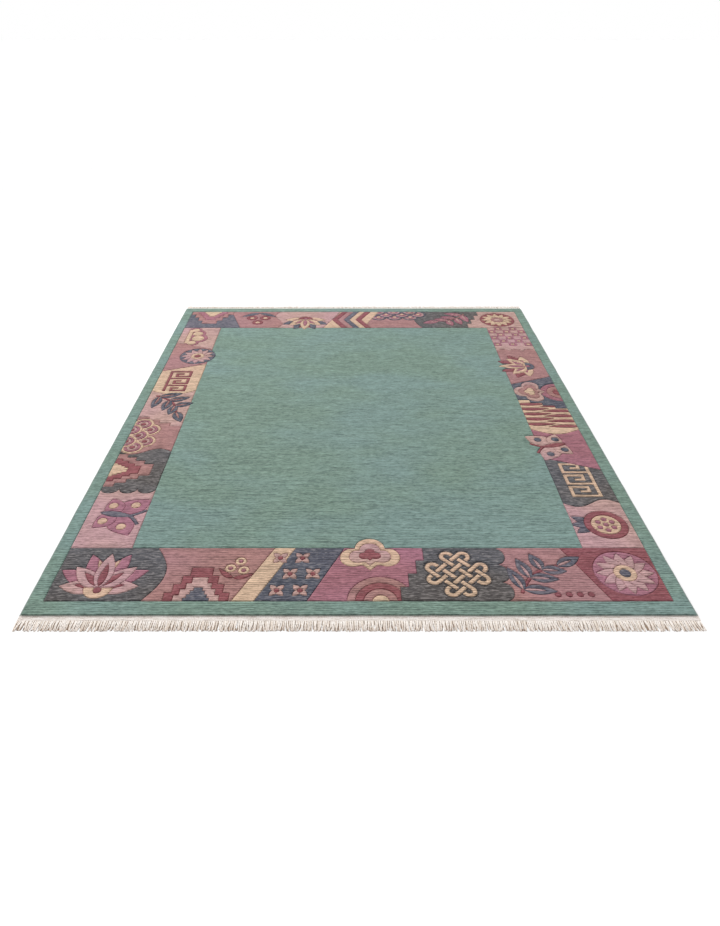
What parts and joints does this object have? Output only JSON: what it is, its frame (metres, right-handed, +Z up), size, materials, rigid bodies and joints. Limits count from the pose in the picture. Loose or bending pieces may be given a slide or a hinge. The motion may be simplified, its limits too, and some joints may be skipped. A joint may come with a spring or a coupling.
{
  "type": "tibetan rug",
  "caption": "Flat hand-knotted wool rug with a plain grey-green field, a sculpted border of motif panels, overcast sides, and a woven kilim band and cotton fringe at each end.",
  "frame": {"origin": "centre of the underside, on the surface the rug lies on", "axes": "+X across the rug, +Y along its length from the near end to the far end, +Z up out of the pile"},
  "size_m": [2.5, 3.142, 0.014],
  "materials": {
    "wool_pile": "matt cut wool pile, carved along the outlines",
    "overcast_wool": "matt wool yarn, overcast",
    "cotton_kilim": "matt unbleached cotton, plain weave",
    "cotton_fringe": "matt unbleached plied cotton"
  },
  "bodies": {
    "root": {"pile_carpet": "wool_pile", "selvedge_left": "overcast_wool", "selvedge_right": "overcast_wool", "kilim_near": "cotton_kilim", "kilim_far": "cotton_kilim", "fringe_near": "cotton_fringe", "fringe_far": "cotton_fringe"}
  },
  "joints": []
}
